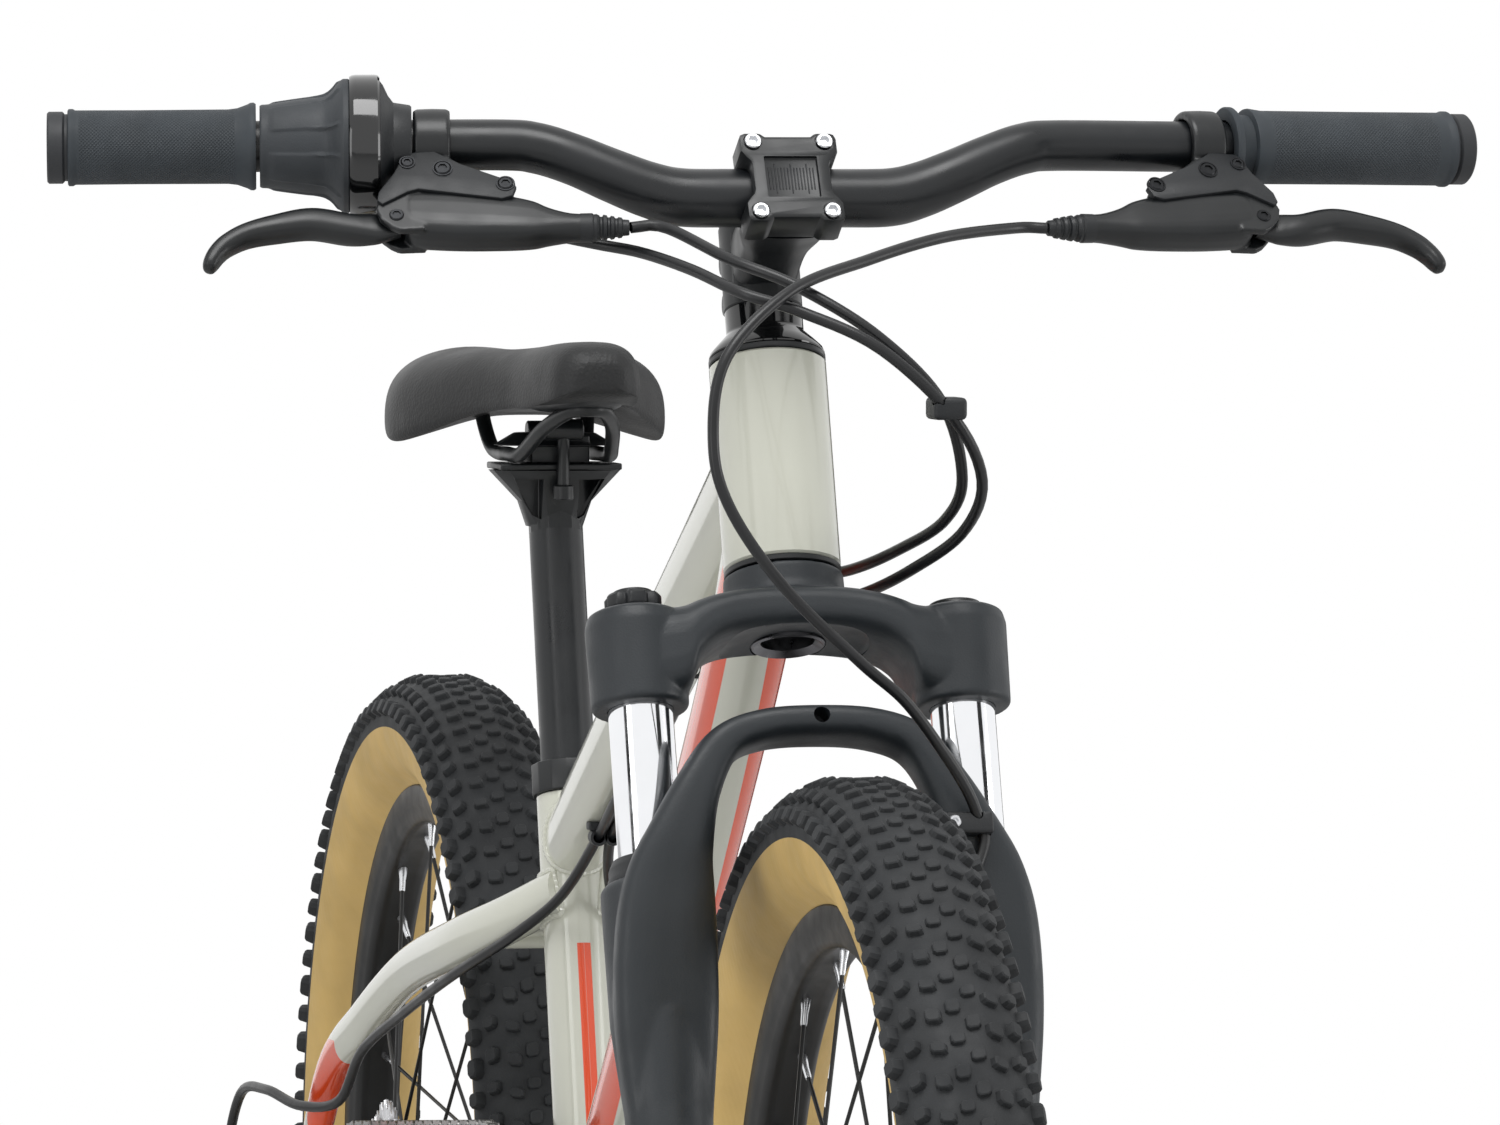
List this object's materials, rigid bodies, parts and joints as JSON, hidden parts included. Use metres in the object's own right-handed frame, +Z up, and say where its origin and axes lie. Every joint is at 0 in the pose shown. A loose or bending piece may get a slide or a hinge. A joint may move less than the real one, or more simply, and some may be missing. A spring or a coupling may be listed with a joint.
{
  "type": "kids mountain bike",
  "caption": "Child's hardtail mountain bike with a telescopic fork, knobby tyres, disc brakes, twist shifter and rear derailleur.",
  "frame": {"origin": "on the ground, midway between the wheel axles in the bike's middle plane", "axes": "+Z up, -Y forward, -X to the rider's right, the chain's side"},
  "size_m": [0.6374, 1.4816, 0.8217],
  "materials": {
    "frame_paint": "gloss putty grey with two orange stripes",
    "fork_casting": "matte charcoal",
    "black_alloy": "satin black anodised",
    "chrome_tube": "bright chrome",
    "steel": "bright steel",
    "grip": "matte ribbed",
    "tyre": "charcoal tread with tan sidewalls",
    "gloss_plastic": "gloss black",
    "matte_plastic": "matte black",
    "hose": "smooth black jacket",
    "saddle_skin": "matte black grained"
  },
  "bodies": {
    "frame": {"frame": "frame_paint", "derailleur_hanger": "black_alloy", "headset_upper_cup": "black_alloy", "headset_lower_cup": "black_alloy", "seat_clamp": "black_alloy", "bottom_bracket": "black_alloy", "rear_caliper": "black_alloy", "rear_brake_hose": "hose", "shift_housing": "hose", "rear_axle": "black_alloy", "derailleur_base": "black_alloy", "chain": "steel"},
    "steering": {"fork_crown": "fork_casting", "stanchion_right": "chrome_tube", "stanchion_left": "chrome_tube", "stem": "black_alloy", "stem_faceplate": "black_alloy", "top_cap": "black_alloy", "headset_cover": "gloss_plastic", "handlebar": "black_alloy", "grip_right": "grip", "grip_left": "grip", "lever_body_right": "black_alloy", "lever_body_left": "black_alloy", "shifter_housing": "gloss_plastic", "cable_clip": "matte_plastic"},
    "preload_knob": {"preload_knob": "matte_plastic"},
    "lever_blade_right": {"lever_blade_right": "black_alloy"},
    "lever_blade_left": {"lever_blade_left": "black_alloy"},
    "twist_grip": {"twist_grip": "grip"},
    "fork_lowers": {"fork_lowers": "fork_casting", "front_caliper": "black_alloy", "hose_clamp": "black_alloy", "front_axle": "black_alloy", "front_brake_hose": "hose"},
    "front_wheel": {"front_tyre": "tyre", "front_rim": "black_alloy", "front_hub": "black_alloy", "front_rotor": "steel"},
    "rear_wheel": {"rear_tyre": "tyre", "rear_rim": "black_alloy", "rear_hub": "black_alloy", "rear_rotor": "steel"},
    "cassette": {"cassette": "steel"},
    "crank": {"crank_arm_right": "black_alloy", "crank_arm_left": "black_alloy", "chainring": "steel"},
    "pedal_right": {"pedal_right": "matte_plastic"},
    "pedal_left": {"pedal_left": "matte_plastic"},
    "derailleur_link_outer": {"derailleur_link_outer": "black_alloy"},
    "derailleur_link_inner": {"derailleur_link_inner": "black_alloy"},
    "derailleur_knuckle": {"derailleur_knuckle": "black_alloy"},
    "derailleur_cage": {"derailleur_cage": "black_alloy"},
    "guide_pulley": {"guide_pulley": "matte_plastic"},
    "tension_pulley": {"tension_pulley": "matte_plastic"},
    "seat": {"seatpost": "black_alloy", "saddle_clamp": "black_alloy", "saddle_rails": "steel", "saddle": "saddle_skin"}
  },
  "joints": [
    {"name": "steering_turn", "type": "hinge", "parent": "frame", "child": "steering", "pos_m": [0, -0.4452, 0.2508], "axis": [0, 0.3486, 0.9373], "range_deg": [-60, 60], "deforming": ["rear_brake_hose", "shift_housing", "cable_clip"]},
    {"name": "preload_turn", "type": "hinge", "parent": "steering", "child": "preload_knob", "pos_m": [-0.071, -0.33676, 0.59488], "axis": [0, 0.3486, 0.9373], "range_deg": [0, 720]},
    {"name": "lever_right_pull", "type": "hinge", "parent": "steering", "child": "lever_blade_right", "pos_m": [-0.17293, -0.32601, 0.7559], "axis": [0.1352, 0.7319, -0.6679], "range_deg": [0, 20], "stiffness_Nm_per_rad": 1, "springref_deg": -8.59},
    {"name": "lever_left_pull", "type": "hinge", "parent": "steering", "child": "lever_blade_left", "pos_m": [0.21035, -0.31941, 0.75556], "axis": [0.1352, -0.7319, 0.6679], "range_deg": [0, 20], "stiffness_Nm_per_rad": 1, "springref_deg": -8.59},
    {"name": "twist_grip_turn", "type": "hinge", "parent": "steering", "child": "twist_grip", "pos_m": [-0.18798, -0.29148, 0.79069], "axis": [-0.9848, 0.1736, -0.009], "range_deg": [-45, 45]},
    {"name": "fork_travel", "type": "slide", "parent": "steering", "child": "fork_lowers", "axis": [0, 0.3486, 0.9373], "range_m": [0, 0.032], "stiffness_N_per_m": 6000, "springref_m": -0.02, "deforming": ["front_brake_hose"]},
    {"name": "front_wheel_spin", "type": "hinge", "parent": "fork_lowers", "child": "front_wheel", "pos_m": [0, -0.478, 0.263], "axis": [1, 0, 0], "continuous": true},
    {"name": "rear_wheel_spin", "type": "hinge", "parent": "frame", "child": "rear_wheel", "pos_m": [0, 0.478, 0.263], "axis": [1, 0, 0], "continuous": true},
    {"name": "cassette_spin", "type": "hinge", "parent": "frame", "child": "cassette", "pos_m": [0, 0.478, 0.263], "axis": [1, 0, 0], "continuous": true, "deforming": ["chain"]},
    {"name": "crank_spin", "type": "hinge", "parent": "frame", "child": "crank", "pos_m": [0, 0.1035, 0.268], "axis": [1, 0, 0], "continuous": true, "deforming": ["chain"]},
    {"name": "pedal_right_spin", "type": "hinge", "parent": "crank", "child": "pedal_right", "pos_m": [-0.12, -0.0365, 0.268], "axis": [1, 0, 0], "continuous": true},
    {"name": "pedal_left_spin", "type": "hinge", "parent": "crank", "child": "pedal_left", "pos_m": [0.12, 0.2435, 0.268], "axis": [1, 0, 0], "continuous": true},
    {"name": "link_outer_swing", "type": "hinge", "parent": "frame", "child": "derailleur_link_outer", "pos_m": [-0.0925, 0.49, 0.233], "axis": [0.7071, -0.3725, 0.601], "range_deg": [-24.75, 24.75], "deforming": ["chain", "shift_housing"]},
    {"name": "link_inner_swing", "type": "hinge", "parent": "frame", "child": "derailleur_link_inner", "pos_m": [-0.08119, 0.49596, 0.22338], "axis": [0.7071, -0.3725, 0.601], "range_deg": [-24.75, 24.75]},
    {"name": "knuckle_swing", "type": "hinge", "parent": "derailleur_link_outer", "child": "derailleur_knuckle", "pos_m": [-0.0925, 0.4475, 0.20666], "axis": [0.7071, -0.3725, 0.601], "range_deg": [-24.75, 24.75]},
    {"name": "cage_swing", "type": "hinge", "parent": "derailleur_knuckle", "child": "derailleur_cage", "pos_m": [-0.0435, 0.4515, 0.20866], "axis": [1, 0, 0], "range_deg": [-40, 0], "stiffness_Nm_per_rad": 0.6, "springref_deg": 28.65, "deforming": ["chain"]},
    {"name": "guide_pulley_spin", "type": "hinge", "parent": "derailleur_cage", "child": "guide_pulley", "pos_m": [-0.0435, 0.4595, 0.18666], "axis": [1, 0, 0], "continuous": true, "deforming": ["chain"]},
    {"name": "tension_pulley_spin", "type": "hinge", "parent": "derailleur_cage", "child": "tension_pulley", "pos_m": [-0.0435, 0.4375, 0.13666], "axis": [1, 0, 0], "continuous": true, "deforming": ["chain"]},
    {"name": "seat_height", "type": "slide", "parent": "frame", "child": "seat", "axis": [0, 0.274, 0.9617], "range_m": [-0.09, 0.04]}
  ],
  "couplings": [
    {"joint": "cassette_spin", "follows": "crank_spin", "ratio": 1.6},
    {"joint": "guide_pulley_spin", "follows": "crank_spin", "ratio": -2.9091},
    {"joint": "tension_pulley_spin", "follows": "crank_spin", "ratio": 2.9091},
    {"joint": "link_outer_swing", "follows": "twist_grip_turn", "ratio": 0.55},
    {"joint": "link_inner_swing", "follows": "twist_grip_turn", "ratio": 0.55},
    {"joint": "knuckle_swing", "follows": "twist_grip_turn", "ratio": -0.55}
  ]
}
